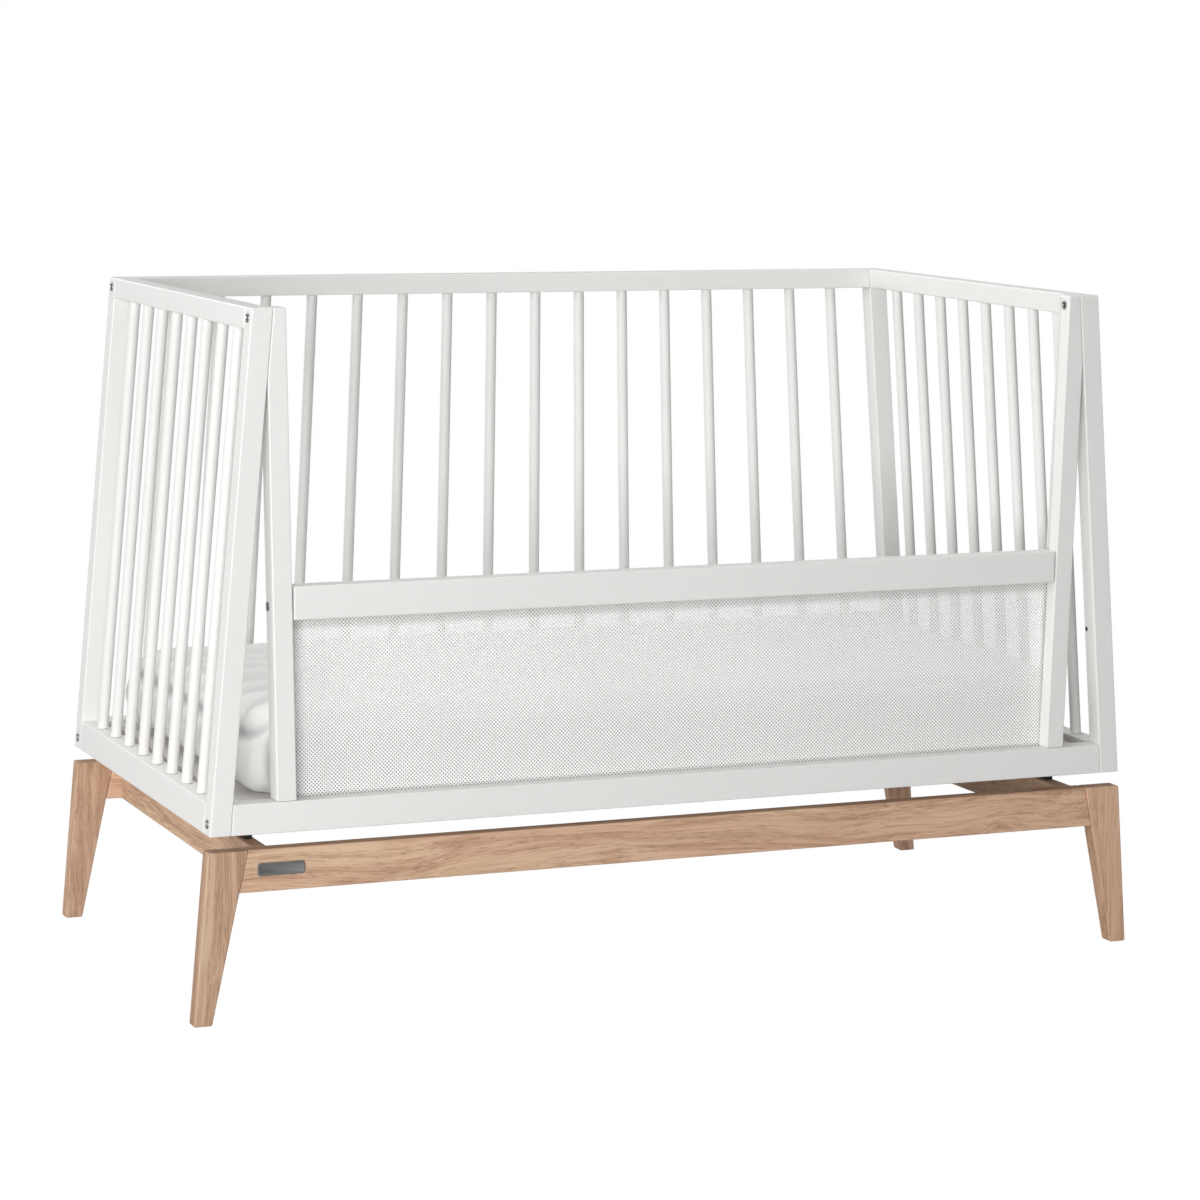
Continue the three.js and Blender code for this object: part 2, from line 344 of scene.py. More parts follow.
def turnedCoordinates(tree, turn, shift=(0, 0, 0)):
    # grain direction turned to X, and shifted so that no two boards are cut from the same place
    here = addNode(tree, "ShaderNodeTexCoord").outputs["Object"]
    return addNode(tree, "ShaderNodeMapping", None, {
        "Vector": here, "Rotation": turn, "Location": shift,
    }).outputs[0]


oakLook = {
    "light": (0.690, 0.450, 0.312, 1),
    "dark": (0.510, 0.302, 0.195, 1),
    "sap": (0.730, 0.525, 0.350, 1),
    "pore": (0.215, 0.115, 0.066, 1),
    "poreShare": 0.42,
    "specular": 0.35,
    "bump": 0.35,
    "bumpDepth": 0.0006,
    "boardStep": 1.73,
    # painted shade: darker left legs, which face the low lamp
    "legShade": {"left_front_leg": 0.84, "left_back_leg": 0.92},
}


def oakMaterial(name, turn, shift, tone, cfg):
    # oiled oak; tone darkens one board against the others, here painted shade on the left legs, which face
    # the low lamp
    material, tree, shader = newMaterial(name)
    light, dark, sap = ((*(c * tone for c in cfg[key][:3]), 1) for key in ("light", "dark", "sap"))
    group = addNode(tree, "ShaderNodeGroup", {"node_tree": grainGroup}, {
        "Vector": turnedCoordinates(tree, turn, shift), "Light": light, "Dark": dark,
        "Sap": sap, "Pore": cfg["pore"], "Pore Share": cfg["poreShare"],
    })
    tree.links.new(group.outputs["Color"], shader.inputs["Base Color"])
    tree.links.new(group.outputs["Roughness"], shader.inputs["Roughness"])
    bumpInto(tree, shader, group.outputs["Height"], cfg["bump"], cfg["bumpDepth"])
    shader.inputs["Specular IOR Level"].default_value = cfg["specular"]
    return material


paintLook = {
    "color": (0.835, 0.83, 0.815, 1),
    "shade": (0.79, 0.785, 0.77, 1),
    "specular": 0.28,
    "bump": 0.12,
    "bumpDepth": 0.0004,
}


def paintMaterial(name, turn, cfg):
    material, tree, shader = newMaterial(name)
    group = addNode(tree, "ShaderNodeGroup", {"node_tree": paintGroup}, {
        "Vector": turnedCoordinates(tree, turn), "Color": cfg["color"], "Shade": cfg["shade"],
    })
    tree.links.new(group.outputs["Color"], shader.inputs["Base Color"])
    tree.links.new(group.outputs["Roughness"], shader.inputs["Roughness"])
    bumpInto(tree, shader, group.outputs["Height"], cfg["bump"], cfg["bumpDepth"])
    shader.inputs["Specular IOR Level"].default_value = cfg["specular"]
    return material


paint = {key: paintMaterial(f"whitePaint_{key}", turn, paintLook) for key, turn in grainTurns.items()}
# painted shade: a darker, duller copy of the white paint so the spindles read less bright than posts and
# rails
paint["spindle"] = paintMaterial("whitePaint_spindleShaded", grainTurns["upright"], paintLook | {
    "color": (0.80, 0.795, 0.78, 1), "shade": (0.76, 0.755, 0.74, 1), "specular": 0.15,
})

plainLooks = {
    "blackStrip": {"color": (0.012, 0.011, 0.011), "roughness": 0.65, "metallic": 0.0, "scale": 700.0,
                   "spread": 0.4, "bump": 0.2},
    "bedBoard": {"color": (0.74, 0.72, 0.69), "roughness": 0.55, "metallic": 0.0, "scale": 260.0,
                 "spread": 0.06, "bump": 0.1},
    "zinc": {"color": (0.33, 0.33, 0.33), "roughness": 0.32, "metallic": 1.0, "scale": 900.0,
             "spread": 0.2, "bump": 0.1},
    # painted shade: the dark floor of bolt sockets and bed holes
    "socketShade": {"color": (0.012, 0.012, 0.012), "roughness": 0.7, "metallic": 0.0, "scale": 900.0,
                   "spread": 0.3, "bump": 0.05},
}
plainFinish = {"roughnessSpread": 0.2, "bumpDepth": 0.0003}


def plainMaterial(name, cfg):
    # moulded, laminated or plated finish: fine noise in colour and roughness, and a slight bump
    material, tree, shader = newMaterial(name)
    here = addNode(tree, "ShaderNodeTexCoord").outputs["Object"]
    grain = noise(tree, here, cfg["scale"], 3.0)
    dark = tuple(c * (1 - cfg["spread"]) for c in cfg["color"])
    mixed = mixColour(tree, "MIX", grain, (*cfg["color"], 1), (*dark, 1))
    tree.links.new(mixed, shader.inputs["Base Color"])
    spread = plainFinish["roughnessSpread"]
    rough = mathNode(tree, "MULTIPLY_ADD", grain, spread, cfg["roughness"] - spread / 2)
    tree.links.new(rough, shader.inputs["Roughness"])
    shader.inputs["Metallic"].default_value = cfg["metallic"]
    bumpInto(tree, shader, grain, cfg["bump"], plainFinish["bumpDepth"])
    return material


plain = {name: plainMaterial(name, cfg) for name, cfg in plainLooks.items()}


def grainWay(name):
    # legs and posts grow upright, every other board along its longest side
    if {"leg", "post", "spindle"} & set(name.split("_")):
        return "upright"
    low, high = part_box(name)
    return "along" if high.x - low.x > high.y - low.y else "across"


def dressNodes():
    slots = {part["node"]: part["material_slot"] for part in frame["record"]["subparts"]}
    for index, name in enumerate(sorted(frame["nodes"])):
        way = grainWay(name)
        if slots[name] == "oak":
            shift = (index * oakLook["boardStep"], index * oakLook["boardStep"] / 3, 0)
            tone = oakLook["legShade"].get(name, 1.0)
            material = oakMaterial(f"oak_{name}", grainTurns[way], shift, tone, oakLook)
        elif slots[name] == "rubber":
            material = plain["blackStrip"]
        elif slots[name] == "bed_board":
            material = plain["bedBoard"]
        elif slots[name] == "paint":
            material = paint[way]
        else:
            continue
        node = frame["nodes"][name]
        node.data.materials.clear()
        node.data.materials.append(material)


dressNodes()
print("materials on the frame")


def newPiece(name, points, faces, materials, slots=None):
    # smooth mesh from an array of points and a list of faces; slots gives each face its material
    data = bpy.data.meshes.new(name)
    data.from_pydata(np.asarray(points, float).reshape(-1, 3).tolist(), [], [list(face) for face in faces])
    for material in materials:
        data.materials.append(material)
    data.polygons.foreach_set("use_smooth", np.full(len(data.polygons), True))
    if slots is not None:
        data.polygons.foreach_set("material_index", slots)
    data.update()
    piece = bpy.data.objects.new(name, data)
    bpy.context.scene.collection.objects.link(piece)
    return piece


def readPoints(data, what="vertices", key="co"):
    values = np.empty(len(data.vertices) * 3)
    getattr(data, what).foreach_get(key, values)
    return values.reshape(-1, 3)


def gridFaces(rows, columns, closed):
    # quads between neighbouring rows; the last column joins the first where the rows are closed rings
    count = columns if closed else columns - 1
    row, column = np.meshgrid(np.arange(rows - 1), np.arange(count), indexing="ij")
    first = row * columns + column
    second = row * columns + (column + 1) % columns
    return np.stack([first, second, second + columns, first + columns], -1).reshape(-1, 4)


def ringFaces(rows, columns):
    # closed stack of rings with a flat face over the first and the last
    faces = gridFaces(rows, columns, True).tolist()
    faces.append(list(range(columns - 1, -1, -1)))
    faces.append(list(range((rows - 1) * columns, rows * columns)))
    return faces


spindleLook = {
    "sides": 40,
    "diameter": 0.015,
    "ease": 0.0009,
    "easeShare": 0.3,
    "hold": 0.002,
    "tip": 0.0062,
    "spans": 6,
}


def makeSpindle(name, cfg):
    # surface of revolution about a leaning line: the radius eases in at both ends, and the centre moves
    # with height
    low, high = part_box(name)
    height = high.z - low.z
    radius = cfg["diameter"] / 2
    ease = cfg["ease"]
    part = ease * cfg["easeShare"]
    ends = np.array([0, 0, part, ease, cfg["hold"]])
    easing = np.array([cfg["tip"], radius - ease, radius - part, radius, radius])
    middle = np.linspace(cfg["hold"], height - cfg["hold"], cfg["spans"] + 1)[1:-1]
    heights = np.concatenate([ends, middle, height - ends[::-1]])
    radii = np.concatenate([easing, np.full(len(middle), radius), easing[::-1]])
    lean = (high.x - low.x) - 2 * radius
    centreX = (low.x + high.x) / 2
    centre = centreX - np.sign(centreX) * lean * (heights / height - 0.5)
    angles = np.linspace(0, 2 * math.pi, cfg["sides"], endpoint=False)
    x = centre[:, None] + radii[:, None] * np.cos(angles)
    y = (low.y + high.y) / 2 + radii[:, None] * np.sin(angles)
    z = np.broadcast_to((low.z + heights)[:, None], x.shape)
    piece = newPiece(f"{name}_round", np.stack([x, y, z], -1), ringFaces(len(heights), cfg["sides"]),
                     [paint["spindle"]])
    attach(piece, "root")
    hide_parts(name)


for spindle in [name for name in frame["nodes"] if "spindle" in name]:
    makeSpindle(spindle, spindleLook)
print("spindles ready")


boltLook = {
    "sides": 48,
    "headRadius": 0.0062,
    "proud": 0.0014,
    "round": 0.0006,
    "roundOut": 0.7,
    "roundDrop": 0.3,
    "chamfer": 1.04,
    "faceRadius": 0.0049,
    "socketRadius": 0.0040,
    "sunk": 0.0003,
    "floor": 0.0001,
}
endBolts = {"depth": 0.316, "topDrop": 0.013, "bottomRise": 0.015}
guideBolts = {
    "depth": 0.3165,
    "topDrop": 0.0135,
    "stopDepth": 0.3085,
    "stopHeight": 0.532,
    "frontReach": 0.002,
    "endReach": 0.004,
}
bedHoles = {
    "height": 0.445,
    "depth": 0.308,
    "radius": 0.0034,
    "rim": 0.0044,
    "eased": 1.1,
    "proud": 0.0004,
    "profile": (-1, 0.4, 1, 0.8, 0.25),
}


def boltShape(cfg):
    # rings about the axis: round shank edge and domed face, then a hexagon down to the floor of the socket
    angles = np.linspace(0, 2 * math.pi, cfg["sides"], endpoint=False)
    sixth = math.pi / 3
    hexagon = cfg["socketRadius"] * math.cos(sixth / 2) / np.cos(angles % sixth - sixth / 2)
    circle = np.ones_like(angles)
    edge = cfg["headRadius"] - cfg["round"]
    drop = cfg["round"] * cfg["roundDrop"]
    rings = [
        (cfg["headRadius"] * circle, -cfg["sunk"]),
        (cfg["headRadius"] * circle, cfg["proud"] - 2 * cfg["round"]),
        ((edge + cfg["round"] * cfg["roundOut"]) * circle, cfg["proud"] - cfg["round"]),
        (edge * circle, cfg["proud"] - drop),
        (cfg["faceRadius"] * circle, cfg["proud"]),
        (hexagon * cfg["chamfer"], cfg["proud"]),
        (hexagon, cfg["proud"] - drop),
        (hexagon, cfg["floor"]),
    ]
    radii = np.array([ring[0] for ring in rings])
    along = np.array([ring[1] for ring in rings])[:, None] * circle
    return np.stack([radii * np.cos(angles), radii * np.sin(angles), along], -1)


def holeShape(cfg, sides):
    # thin eased rim around a hole, its floor painted dark as shade
    angles = np.linspace(0, 2 * math.pi, sides, endpoint=False)
    circle = np.ones_like(angles)
    rim, radius = cfg["rim"], cfg["radius"]
    radii = np.array([rim, rim, radius * cfg["eased"], radius, radius])[:, None] * circle
    along = np.array(cfg["profile"])[:, None] * cfg["proud"] * circle
    return np.stack([radii * np.cos(angles), radii * np.sin(angles), along], -1)


def placed(shape, place, outward):
    # the shape's axis turned to the outward direction, its foot at the place
    along = np.array(outward) / np.linalg.norm(outward)
    across = np.cross((0, 1, 0), along)
    across /= np.linalg.norm(across)
    axes = np.stack([across, np.cross(along, across), along])
    return shape @ axes + np.array(place)


def makeFittings(name, shapes, rim, centre):
    # several round fittings in one mesh; the last face of each is its floor, painted dark as the shade in a
    # socket or hole
    rows, columns = shapes[0].shape[:2]
    faces = []
    slots = []
    for index in range(len(shapes)):
        own = ringFaces(rows, columns)
        faces += [[corner + index * rows * columns for corner in face] for face in own]
        slots += [0] * (len(own) - 1) + [1]
    piece = newPiece(name, np.stack(shapes), faces, [rim, centre], slots)
    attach(piece, "root")


def makeBolts():
    # two bolts on the outer face of each end post, and a bed hole on its inner face
    bolt = boltShape(boltLook)
    hole = holeShape(bedHoles, boltLook["sides"])
    for side, sign in (("left", -1), ("right", 1)):
        low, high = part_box(f"{side}_front_post")
        outer = sorted((abs(low.x), abs(high.x)))
        thick = high.y - low.y
        topX = outer[0] + thick
        splay = (outer[1] - topX) / (high.z - low.z)
        spots = []
        for depth in (-endBolts["depth"], endBolts["depth"]):
            for z in (high.z - endBolts["topDrop"], low.z + endBolts["bottomRise"]):
                x = topX + (high.z - z) * splay
                spots.append(placed(bolt, (sign * x, depth, z), (sign, 0, splay)))
        makeFittings(f"{side}_end_bolts", spots, plain["zinc"], plain["socketShade"])
        level = bedHoles["height"]
        innerX = topX - thick + (high.z - level) * splay
        holes = [placed(hole, (sign * innerX, depth, level), (-sign, 0, -splay))
                 for depth in (-bedHoles["depth"], bedHoles["depth"])]
        makeFittings(f"{side}_bed_holes", holes, paint["upright"], plain["socketShade"])
        makeGuideBolts(side, sign, bolt)


def makeGuideBolts(side, sign, bolt):
    # one bolt through the guide's top into the end frame, and the sliding rail's stop bolt on its outer side
    points = readPoints(frame["nodes"][f"{side}_guide_post"].data)
    front = points[points[:, 1] < points[:, 1].min() + guideBolts["frontReach"]]
    lowest, highest = front[:, 2].min(), front[:, 2].max()
    near = np.abs(front[:, 0])
    foot = front[:, 2] < lowest + guideBolts["endReach"]
    head = front[:, 2] > highest - guideBolts["endReach"]
    lean = (near[head].min() - near[foot].min()) / (highest - lowest)
    width = near[foot].max() - near[foot].min()
    top = highest - guideBolts["topDrop"]
    topX = near[foot].min() + (top - lowest) * lean
    stop = guideBolts["stopHeight"]
    stopX = near[foot].min() + width + (stop - lowest) * lean
    spots = [
        placed(bolt, (sign * topX, -guideBolts["depth"], top), (-sign, 0, lean)),
        placed(bolt, (sign * stopX, -guideBolts["stopDepth"], stop), (sign, 0, -lean)),
    ]
    makeFittings(f"{side}_guide_bolts", spots, plain["zinc"], plain["socketShade"])


makeBolts()
print("bolts and holes ready")


badgeLook = {
    "corner": 0.0042,
    "cornerSteps": 7,
    "thick": 0.0016,
    "edge": 0.0006,
    "easeShare": 0.3,
    "rim": 0.0016,
    "sink": 0.0005,
    "color": (0.22, 0.225, 0.215, 1),
    "dark": (0.13, 0.135, 0.13, 1),
    "brush": (40.0, 900.0, 2600.0),
    "wear": 160.0,
    "darkShare": (0.8, 0.6, -0.3),
    "metallic": 0.45,
    "roughness": 0.5,
    "roughnessSpread": 0.25,
    "bump": 0.3,
    "bumpDepth": 0.0002,
}


def badgeMaterial(cfg):
    # brushed along X, with darker worn patches
    material, tree, shader = newMaterial("badgeMetal")
    here = addNode(tree, "ShaderNodeTexCoord").outputs["Object"]
    brushed = noise(tree, stretch(tree, here, cfg["brush"]), 1.0, 3.0)
    worn = noise(tree, here, cfg["wear"], 3.0)
    byWear, byBrush, start = cfg["darkShare"]
    streaks = mathNode(tree, "MULTIPLY_ADD", brushed, byBrush, start)
    share = mathNode(tree, "MULTIPLY_ADD", worn, byWear, streaks, clamp=True)
    tree.links.new(mixColour(tree, "MIX", share, cfg["color"], cfg["dark"]), shader.inputs["Base Color"])
    rough = mathNode(tree, "MULTIPLY_ADD", brushed, cfg["roughnessSpread"], cfg["roughness"])
    tree.links.new(rough, shader.inputs["Roughness"])
    shader.inputs["Metallic"].default_value = cfg["metallic"]
    bumpInto(tree, shader, share, cfg["bump"], cfg["bumpDepth"])
    return material


def makeBadge(cfg):
    # rounded rectangle swept through a profile: eased edge, raised rim, and a sunk blank face
    low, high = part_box("badge_plate")
    centre = (low + high) / 2
    quarter = np.linspace(0, math.pi / 2, cfg["cornerSteps"])
    turns = (quarter[None] + np.arange(4)[:, None] * math.pi / 2).ravel()
    signX = np.repeat([1, -1, -1, 1], cfg["cornerSteps"])
    signZ = np.repeat([1, 1, -1, -1], cfg["cornerSteps"])
    coreX = (high.x - low.x) / 2 - cfg["corner"]
    coreZ = (high.z - low.z) / 2 - cfg["corner"]
    thick, edge, rim = cfg["thick"], cfg["edge"], cfg["rim"]
    part = edge * cfg["easeShare"]
    inset = np.array([0, 0, part, edge, edge + rim, edge + rim + cfg["sink"]])
    out = np.array([0, thick - edge, thick - part, thick, thick, thick - cfg["sink"]])
    radius = (cfg["corner"] - inset)[:, None]
    x = centre.x + signX * coreX + radius * np.cos(turns)
    z = centre.z + signZ * coreZ + radius * np.sin(turns)
    y = np.broadcast_to(high.y - out[:, None], x.shape)
    faces = ringFaces(len(inset), len(turns))
    piece = newPiece("blank_badge", np.stack([x, y, z], -1), faces, [badgeMaterial(cfg)])
    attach(piece, "root")
    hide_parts("badge_plate")


makeBadge(badgeLook)
print("badge ready")


nettingLook = {
    "cell": 0.0050,
    "open": 0.24,
    "soft": 0.26,
    "seeThrough": 0.55,
    "color": (0.99, 0.99, 0.98, 1),
    "shade": (0.965, 0.965, 0.955, 1),
    # painted shade: the dark colour that fills the opaque part of each hole
    "inner": (0.26, 0.26, 0.26, 1),
    "hemAndShadow": 0.014,
    "hemFade": (0.6, 1.4),
    "hemCover": 0.35,
    # the edge band colour: partly the hem, partly painted shadow along the rails
    "hemShade": (0.76, 0.76, 0.755, 1),
    "foot": 0.0035,
    "footFade": (0.5, 1.5),
    "yarn": 2400.0,
    "yarnRoughness": (0.2, 0.7),
    "yarnHeight": 0.3,
    "bump": 0.5,
    "bumpDepth": 0.0004,
    "rows": 60,
    "columns": 260,
    "ripple": 0.0006,
    "rippleTurns": 21.0,
    "rippleLean": 3,
}


def nettingMaterial(cfg, halfWidth, bottom, top):
    # one knitted sheet with holes where cos(x) cos(z) is high, two per cell, in rows half a cell apart; part
    # of each hole stays opaque in a dark colour, painted shade for a shaded layer behind, and more of it in
    # the darker band along every edge, which is partly the hem and partly painted shadow of the rails
    material, tree, shader = newMaterial("nettingTextile")
    uv = addNode(tree, "ShaderNodeUVMap", {"uv_map": "cloth"}).outputs[0]
    split = addNode(tree, "ShaderNodeSeparateXYZ", None, {0: uv})
    turns = 2 * math.pi / cfg["cell"]
    across = mathNode(tree, "COSINE", mathNode(tree, "MULTIPLY", split.outputs[0], turns))
    upwards = mathNode(tree, "COSINE", mathNode(tree, "MULTIPLY", split.outputs[1], turns))
    lattice = mathNode(tree, "MULTIPLY", across, upwards)
    hole = fade(tree, lattice, cfg["open"], cfg["open"] + cfg["soft"])
    near, far = (cfg["hemAndShadow"] * share for share in cfg["hemFade"])
    aside = fade(tree, mathNode(tree, "ABSOLUTE", split.outputs[0]), halfWidth - far, halfWidth - near)
    above = fade(tree, split.outputs[1], top - far, top - near)
    low, high = (bottom + cfg["foot"] * share for share in cfg["footFade"])
    # painted shadow along the bottom rail
    foot = fade(tree, split.outputs[1], low, high, 1.0, 0.0)
    hemAndShadow = mathNode(tree, "MAXIMUM", mathNode(tree, "MAXIMUM", aside, above), foot)
    clear = mathNode(tree, "MULTIPLY_ADD", hemAndShadow, -cfg["hemCover"], cfg["seeThrough"])
    through = mathNode(tree, "MULTIPLY", hole, clear)
    yarn = noise(tree, uv, cfg["yarn"], 2.0)
    outer = mixColour(tree, "MIX", yarn, cfg["color"], cfg["shade"])
    # painted shade in the holes
    knit = mixColour(tree, "MIX", hole, outer, cfg["inner"])
    tree.links.new(mixColour(tree, "MULTIPLY", hemAndShadow, knit, cfg["hemShade"]), shader.inputs["Base Color"])
    tree.links.new(mathNode(tree, "SUBTRACT", 1.0, through), shader.inputs["Alpha"])
    rough = mathNode(tree, "MULTIPLY_ADD", yarn, *cfg["yarnRoughness"])
    tree.links.new(rough, shader.inputs["Roughness"])
    thread = mathNode(tree, "MULTIPLY", lattice, -1.0)
    height = mathNode(tree, "MULTIPLY_ADD", yarn, cfg["yarnHeight"], thread)
    bumpInto(tree, shader, height, cfg["bump"], cfg["bumpDepth"])
    return material


def makeNetting(cfg):
    # flat grid between the rails, with long shallow ripples out of its plane
    low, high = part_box("side_mesh")
    across = np.linspace(low.x, high.x, cfg["columns"])
    upwards = np.linspace(low.z, high.z, cfg["rows"])
    x, z = np.meshgrid(across, upwards)
    rise = (z - low.z) / (high.z - low.z)
    waves = np.sin(x * cfg["rippleTurns"] + cfg["rippleLean"] * rise)
    y = (low.y + high.y) / 2 + cfg["ripple"] * waves * np.sin(math.pi * rise)
    faces = gridFaces(cfg["rows"], cfg["columns"], False)
    piece = newPiece("side_netting", np.stack([x, y, z], -1), faces,
                     [nettingMaterial(cfg, high.x, low.z, high.z)])
    layer = piece.data.uv_layers.new(name="cloth")
    corner = np.empty(len(piece.data.loops), np.int32)
    piece.data.loops.foreach_get("vertex_index", corner)
    flat = np.stack([x.ravel(), z.ravel()], -1)
    layer.data.foreach_set("uv", flat[corner].ravel())
    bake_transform(piece)
    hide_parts("side_mesh")


makeNetting(nettingLook)
print("netting ready")


mattressLook = {
    "voxel": 0.009,
    "tuck": 0.003,
    "lift": 0.0002,
    "pressure": 3.0,
    "frames": 20,
    "cap": 0.007,
    "clothQuality": 4,
    "clothTension": 12,
    "clothBending": 0.4,
    "wallBelow": (0.75, 0.95),
    "topAbove": (0.5, 0.95),
    "endWallAbove": (0.2, 0.8),
    "endFade": (0.045, 0.006),
    "frontFade": (0.060, 0.004),
    "seamDrop": 0.010,
    "seamEndDrop": 0.022,
    "seamDepth": 0.0075,
    "seamWidth": 0.0090,
    "seamShade": (0.4, 0.6),
    "gatherFrom": (0.004, 0.030),
    "gatherTo": (0.050, 0.085),
    "gatherCorner": 0.06,
    "gatherTurns": 11,
    "gatherLean": 40,
    "gatherDepth": 0.0018,
    "foldDepth": 0.0040,
    "foldPitch": 0.078,
    "foldReach": (0.05, 0.30),
    "foldWander": ((0.9, 7.3, 0.0), (1.1, 2.0, 9.1), (0.8, 5.0, 23.0)),
    "foldLevel": 0.3,
    "foldCalm": 0.7,
    "ridgePower": 3,
    "valleyPower": 4,
    "valleyShade": 0.25,
    "swell": 0.0014,
    "swellAlong": 9.3,
    "swellBend": (2.1, 7.7),
    "swellAcross": (8.0, 1.0),
    "bulge": 0.012,
    "cornerBulge": 0.011,
    "bulgeRise": 0.046,
    "bulgeSpread": 0.036,
    "weave": 2200.0,
    "slub": 60.0,
    "slubRoughness": (0.15, 0.78),
    "slubHeight": 0.6,
    "color": (0.87, 0.865, 0.85, 1),
    "shade": (0.81, 0.805, 0.79, 1),
    # painted shade: the grey that the crease shade mask mixes into the cotton
    "creaseShadeColour": (0.42, 0.42, 0.415, 1),
    # painted shade over the mattress walls below the seam
    "wallShade": 0.42,
    "wallShadeFade": (0.020, 0.006),
    "sheen": 0.2,
    "bump": 0.15,
    "bumpDepth": 0.0002,
}


def sheetMaterial(cfg):
    # plain weave from two crossed sines, with uneven yarn, and painted shade: greyer where the creaseShade
    # attribute is high
    material, tree, shader = newMaterial("cottonSheet")
    here = addNode(tree, "ShaderNodeTexCoord").outputs["Object"]
    split = addNode(tree, "ShaderNodeSeparateXYZ", None, {0: here})
    warp = mathNode(tree, "SINE", mathNode(tree, "MULTIPLY", split.outputs[0], cfg["weave"]))
    level = mathNode(tree, "ADD", split.outputs[1], split.outputs[2])
    weft = mathNode(tree, "SINE", mathNode(tree, "MULTIPLY", level, cfg["weave"]))
    weave = mathNode(tree, "MULTIPLY", warp, weft)
    slub = noise(tree, here, cfg["slub"], 3.0)
    cotton = mixColour(tree, "MIX", slub, cfg["color"], cfg["shade"])
    creaseShade = addNode(tree, "ShaderNodeAttribute", {"attribute_name": "creaseShade"}).outputs["Fac"]
    tree.links.new(mixColour(tree, "MIX", creaseShade, cotton, cfg["creaseShadeColour"]), shader.inputs["Base Color"])
    rough = mathNode(tree, "MULTIPLY_ADD", slub, *cfg["slubRoughness"])
    tree.links.new(rough, shader.inputs["Roughness"])
    shader.inputs["Sheen Weight"].default_value = cfg["sheen"]
    height = mathNode(tree, "MULTIPLY_ADD", slub, cfg["slubHeight"], weave)
    bumpInto(tree, shader, height, cfg["bump"], cfg["bumpDepth"])
    return material


def applied(piece, kind, settings):
    # adds a modifier, applies it and leaves its result in the mesh
    modifier = piece.modifiers.new(kind.lower(), kind)
    for key, value in settings.items():
        setattr(modifier, key, value)
    bpy.context.view_layer.objects.active = piece
    bpy.ops.object.modifier_apply(modifier=modifier.name)


def inflate(piece, cfg):
    # air pressure rounds the sheet over the foam; no point moves further than the cap
    start = readPoints(piece.data)
    cloth = piece.modifiers.new("cloth", "CLOTH")
    cloth.settings.quality = cfg["clothQuality"]
    cloth.settings.use_pressure = True
    cloth.settings.uniform_pressure_force = cfg["pressure"]
    cloth.settings.effector_weights.gravity = 0
    cloth.settings.tension_stiffness = cfg["clothTension"]
    cloth.settings.bending_stiffness = cfg["clothBending"]
    cloth.point_cache.frame_end = cfg["frames"]
    for step in range(1, cfg["frames"] + 1):
        bpy.context.scene.frame_set(step)
    shaped = piece.evaluated_get(bpy.context.evaluated_depsgraph_get())
    moved = readPoints(shaped.data) - start
    piece.modifiers.remove(cloth)
    bpy.context.scene.frame_set(1)
    far = np.linalg.norm(moved, axis=1, keepdims=True)
    points = start + moved * np.minimum(1, cfg["cap"] / np.maximum(far, 1e-9))
    piece.data.vertices.foreach_set("co", points.ravel())
    piece.data.update()


def between(value, low, high):
    # smooth step from 0 at low to 1 at high
    share = np.clip((value - low) / (high - low), 0, 1)
    return share * share * (3 - 2 * share)


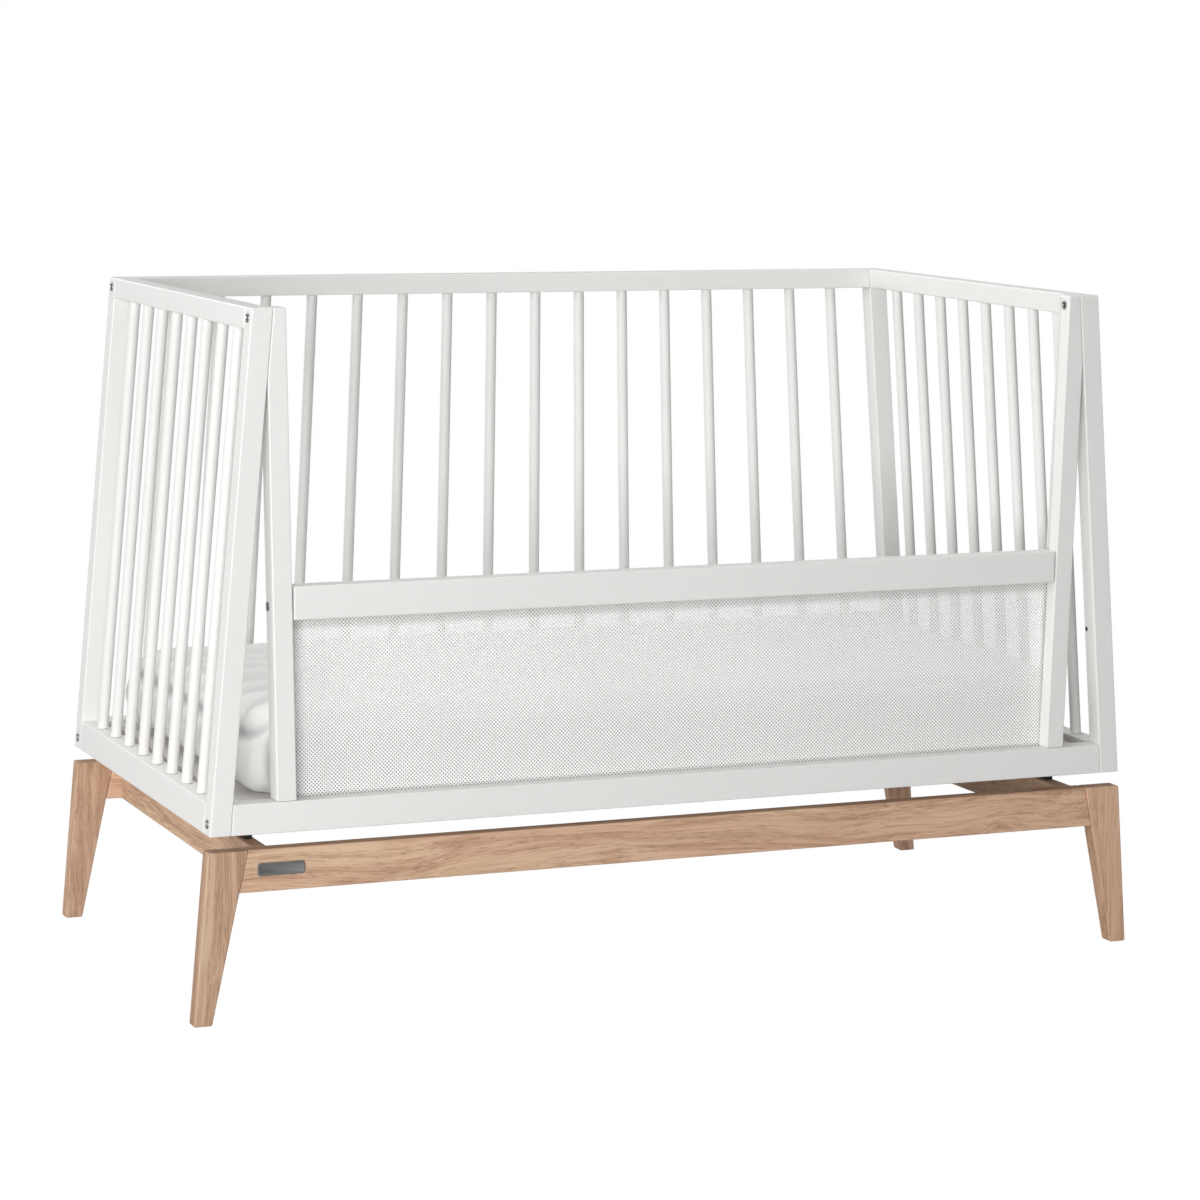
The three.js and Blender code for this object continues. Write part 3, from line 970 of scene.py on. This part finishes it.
def foldedSheet(points, normals, low, high, cfg):
    # offset along the normals, and a mask of painted shade. The walls have a seam groove that drops at the
    # ends, gathers below it at the corners, and a bulge low on the end walls; the top has ridges along X
    # near both ends, and a slow swell. The painted shade greys the seam groove, more at the ends, the walls
    # below it, and the fold valleys
    x, y, z = points.T
    wall = 1 - between(np.abs(normals[:, 2]), *cfg["wallBelow"])
    top = between(normals[:, 2], *cfg["topAbove"])
    endness = between(np.abs(x), *(high.x - inset for inset in cfg["endFade"]))
    frontness = between(np.abs(y), *(high.y - inset for inset in cfg["frontFade"]))
    seam = high.z - cfg["seamDrop"] - cfg["seamEndDrop"] * endness
    groove = np.exp(-((z - seam) / cfg["seamWidth"]) ** 2)
    below = between(seam - z, *cfg["gatherFrom"]) * (1 - between(seam - z, *cfg["gatherTo"]))
    cornerX = np.sign(x) * (high.x - cfg["gatherCorner"])
    cornerY = np.sign(y) * (high.y - cfg["gatherCorner"])
    around = np.arctan2(y - cornerY, x - cornerX)
    gather = np.sin(around * cfg["gatherTurns"] + z * cfg["gatherLean"]) * below * endness * frontness
    outwards = between(np.abs(normals[:, 0]), *cfg["endWallAbove"])
    outwards = outwards * (cfg["bulge"] + cfg["cornerBulge"] * frontness)
    bulge = outwards * np.exp(-((z - low.z - cfg["bulgeRise"]) / cfg["bulgeSpread"]) ** 2)
    onWall = (cfg["gatherDepth"] * gather + bulge - cfg["seamDepth"] * groove) * wall
    nearEnd = 1 - between(high.x - np.abs(x), *cfg["foldReach"])
    phase = y * 2 * math.pi / cfg["foldPitch"]
    for reach, alongX, alongY in cfg["foldWander"]:
        phase = phase + reach * np.sin(x * alongX + y * alongY)
    ridge = (0.5 + 0.5 * np.cos(phase)) ** cfg["ridgePower"]
    fold = (ridge - cfg["foldLevel"]) * nearEnd * (1 - cfg["foldCalm"] * frontness)
    valley = (1 - ridge) ** cfg["valleyPower"] * nearEnd * (1 - frontness)
    bend, bendTurns = cfg["swellBend"]
    across, start = cfg["swellAcross"]
    swell = np.sin(x * cfg["swellAlong"] + bend * np.sin(y * bendTurns)) * np.sin(y * across + start)
    onTop = (cfg["foldDepth"] * fold + cfg["swell"] * swell) * top
    under, over = cfg["wallShadeFade"]
    # painted shade: the walls below the seam greyed
    wallShade = cfg["wallShade"] * (1 - between(z, seam - under, seam + over))
    middle, ends = cfg["seamShade"]
    shaded = np.maximum(wallShade, groove * (middle + ends * endness))
    # painted shade mask: seam groove, walls below it and fold valleys greyed
    creaseShade = np.clip(shaded * wall + cfg["valleyShade"] * valley * top, 0, 1)
    return onWall + onTop, creaseShade


def makeMattress(cfg):
    low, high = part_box("mattress")
    data = frame["nodes"]["mattress"].data.copy()
    piece = bpy.data.objects.new("mattress_sheeted", data)
    bpy.context.scene.collection.objects.link(piece)
    centre = np.array(low + high) / 2
    half = np.array(high - low) / 2
    points = readPoints(data)
    data.vertices.foreach_set("co", (centre + (points - centre) * (half - cfg["tuck"]) / half).ravel())
    applied(piece, "REMESH", {"mode": "VOXEL", "voxel_size": cfg["voxel"]})
    inflate(piece, cfg)
    applied(piece, "SUBSURF", {"levels": 1, "render_levels": 1})
    data = piece.data
    points = readPoints(data)
    normals = readPoints(data, "vertex_normals", "vector")
    offset, creaseShade = foldedSheet(points, normals, low, high, cfg)
    points = points + normals * offset[:, None]
    points[:, 2] = np.maximum(points[:, 2], low.z + cfg["lift"])
    data.vertices.foreach_set("co", points.ravel())
    # the painted shade mask is kept as a point attribute for the sheet's colour
    data.attributes.new("creaseShade", "FLOAT", "POINT").data.foreach_set("value", creaseShade)
    data.polygons.foreach_set("use_smooth", np.full(len(data.polygons), True))
    data.materials.clear()
    data.materials.append(sheetMaterial(cfg))
    data.update()
    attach(piece, "bed")
    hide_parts("mattress")


makeMattress(mattressLook)
print("mattress ready")
